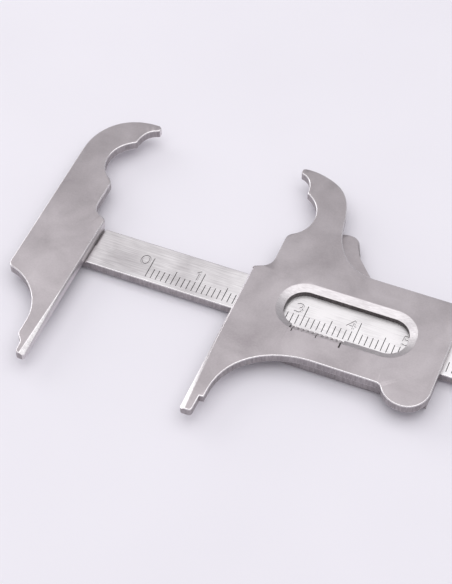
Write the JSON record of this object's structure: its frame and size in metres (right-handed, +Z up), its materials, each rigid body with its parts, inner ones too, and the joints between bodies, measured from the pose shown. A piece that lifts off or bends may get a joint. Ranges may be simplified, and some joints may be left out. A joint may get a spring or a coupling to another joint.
{
  "type": "vernier slide gauge",
  "caption": "Small steel slide calliper: hooked upper jaws, beaked lower jaws, engraved millimetre beam and a slider with a vernier window and a thumb release lever.",
  "frame": {"origin": "bottom centre of the whole gauge's box, on the surface that it lies on", "axes": "+X along the beam away from the fixed jaw, +Y towards the hooked jaws, +Z up out of the scale side"},
  "size_m": [0.133, 0.0602, 0.0041],
  "materials": {
    "satin_steel": "bead-blasted stainless steel, satin",
    "beam_steel": "stainless steel ground lengthwise, engraved and filled lines",
    "spring_steel": "tempered spring strip"
  },
  "bodies": {
    "fixed": {"beam": "beam_steel", "fixed_jaw": "satin_steel", "fixed_jaw_rivet_1": "satin_steel", "fixed_jaw_rivet_2": "satin_steel", "fixed_jaw_rivet_3": "satin_steel", "end_stop": "satin_steel"},
    "slider": {"slider_front_plate": "satin_steel", "slider_back_plate": "satin_steel", "lower_rail": "satin_steel", "upper_rail_front": "satin_steel", "upper_rail_rear": "satin_steel", "slider_rivet_1": "satin_steel", "slider_rivet_2": "satin_steel", "slider_rivet_3": "satin_steel", "slider_rivet_4": "satin_steel", "slider_rivet_5": "satin_steel", "slider_rivet_6": "satin_steel", "lever_pivot_pin": "satin_steel", "lever_leaf_spring": "spring_steel"},
    "lever": {"release_lever": "satin_steel"}
  },
  "joints": [
    {"name": "slider_travel", "type": "slide", "parent": "fixed", "child": "slider", "axis": [1, 0, 0], "range_m": [-0.0294, 0.0506]},
    {"name": "lever_press", "type": "hinge", "parent": "slider", "child": "lever", "pos_m": [-0.0078, 0.00643, 0.0015], "axis": [0, 0, 1], "range_deg": [0, 4], "stiffness_Nm_per_rad": 0.05, "springref_deg": -20.05, "deforming": ["lever_leaf_spring"]}
  ]
}
